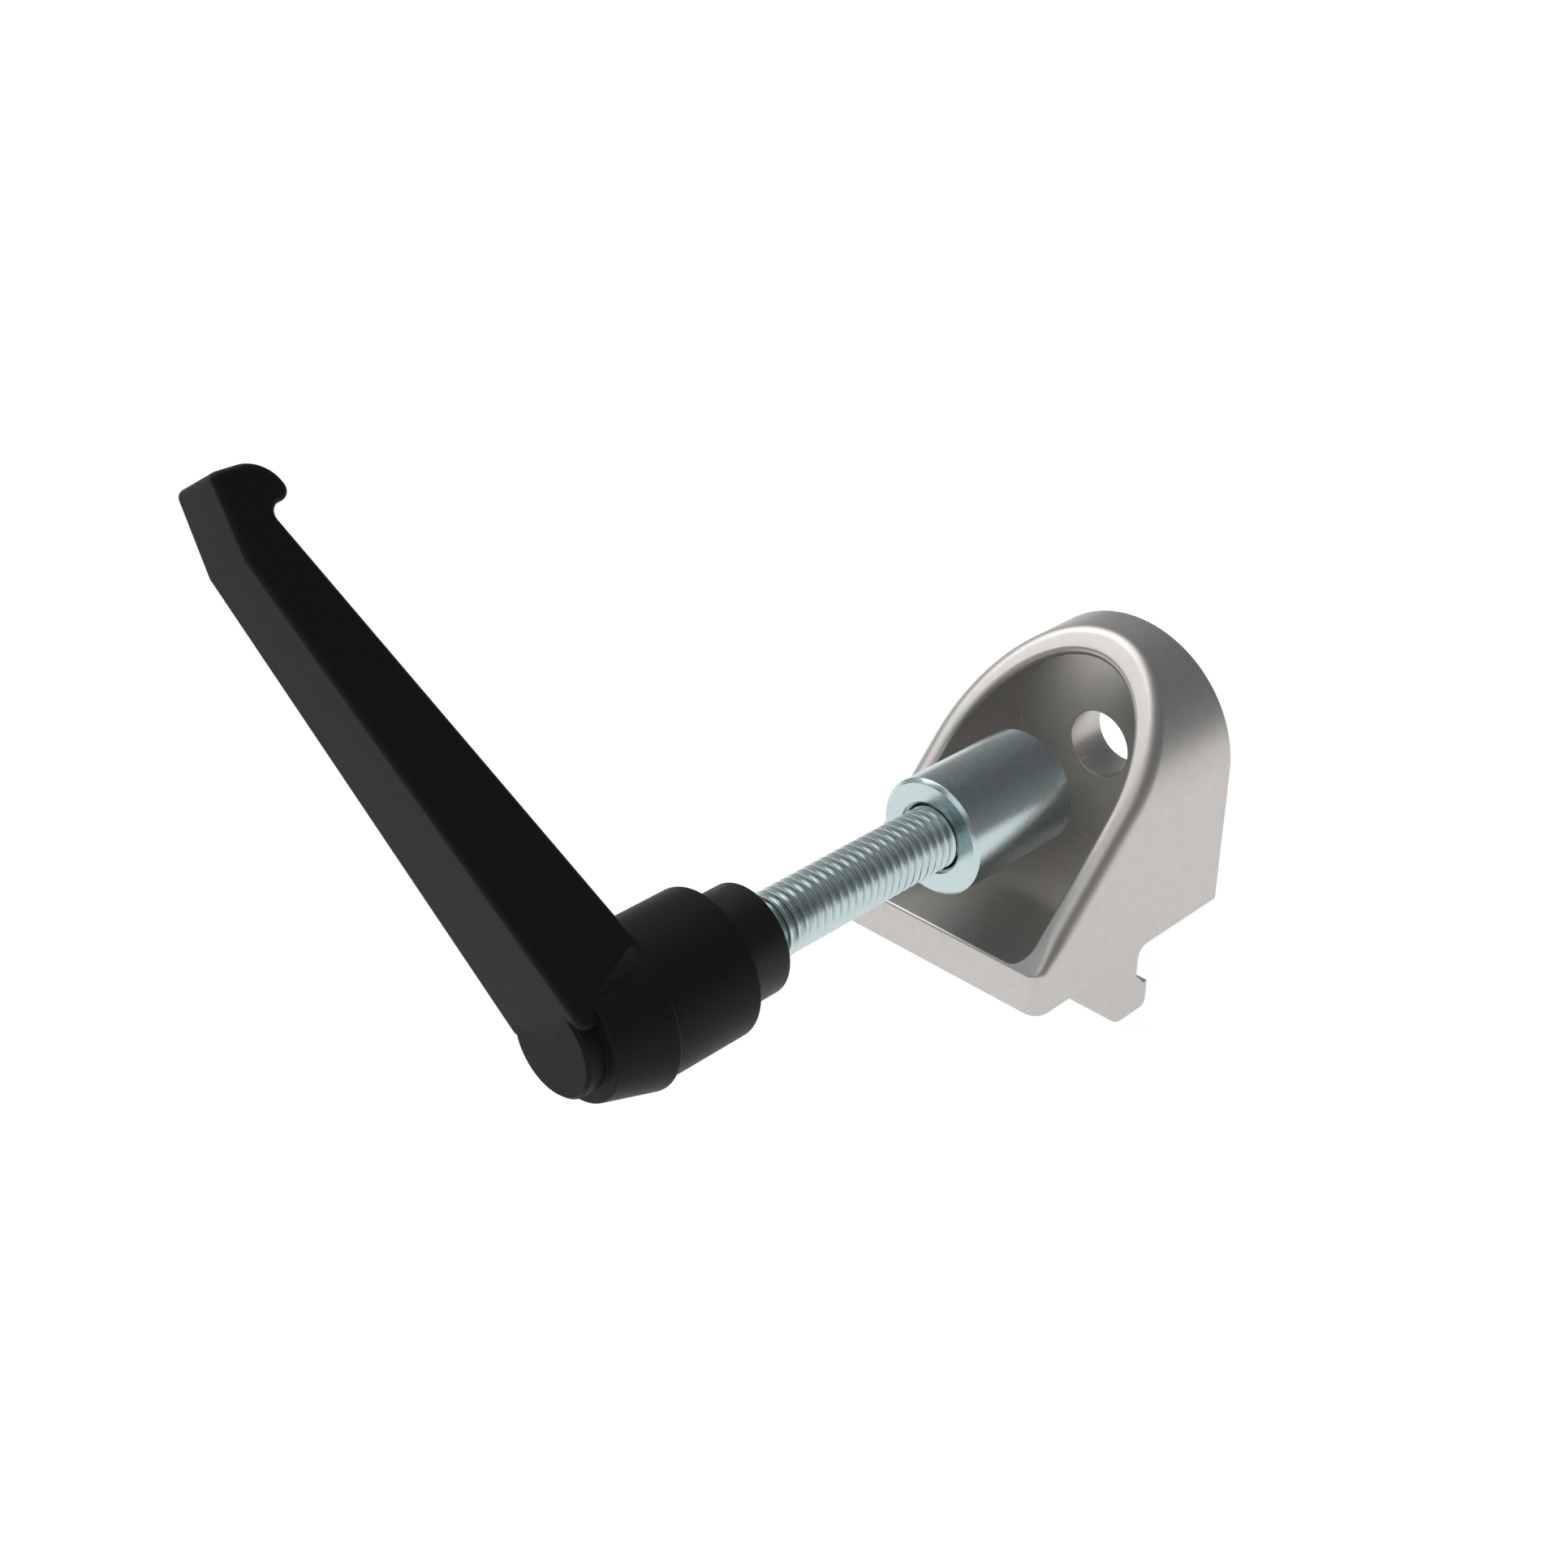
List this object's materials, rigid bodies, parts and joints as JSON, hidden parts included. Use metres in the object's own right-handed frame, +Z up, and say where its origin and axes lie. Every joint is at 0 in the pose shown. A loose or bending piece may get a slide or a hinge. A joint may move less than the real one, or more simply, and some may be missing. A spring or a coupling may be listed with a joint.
{
  "type": "clamping angle bracket",
  "caption": "Hood-shaped die-cast angle bracket with a hook lug for a profile slot, a spacer sleeve and an adjustable clamping lever on a threaded stud.",
  "frame": {"origin": "stud axis at the bracket's back face", "axes": "+Y along the stud axis out of the back face, +Z up from the base with its hook lug, +X across the bracket's width"},
  "size_m": [0.0523, 0.1102, 0.0874],
  "materials": {
    "cast_zinc": "light warm grey die-cast zinc, vibratory finished to a satin sheen",
    "zinc_plated_steel": "turned steel, bright zinc plated with a blue tint",
    "black_steel": "steel, blackened",
    "spring_steel": "drawn spring wire",
    "black_coating": "die-cast zinc with a fine black satin powder coat"
  },
  "bodies": {
    "bracket": {"bracket": "cast_zinc"},
    "sleeve": {"spacer_sleeve": "zinc_plated_steel"},
    "spring": {"lift_spring": "spring_steel"},
    "stud": {"threaded_stud": "zinc_plated_steel", "toothed_insert": "black_steel"},
    "handle": {"lever_handle": "black_coating", "retaining_ring": "black_steel"}
  },
  "joints": [
    {"name": "sleeve_slide", "type": "slide", "parent": "bracket", "child": "sleeve", "axis": [0, 1, 0], "range_m": [0, 0.0145]},
    {"name": "lever_feed", "type": "slide", "parent": "sleeve", "child": "spring", "axis": [0, 1, 0], "range_m": [0, 0.0299]},
    {"name": "lever_turn", "type": "hinge", "parent": "spring", "child": "stud", "pos_m": [0, -0.0687, 0], "axis": [0, 1, 0], "continuous": true},
    {"name": "handle_lift", "type": "slide", "parent": "stud", "child": "handle", "axis": [0, -1, 0], "range_m": [0, 0.0042], "stiffness_N_per_m": 1200, "springref_m": -0.004, "deforming": ["lift_spring"]}
  ]
}
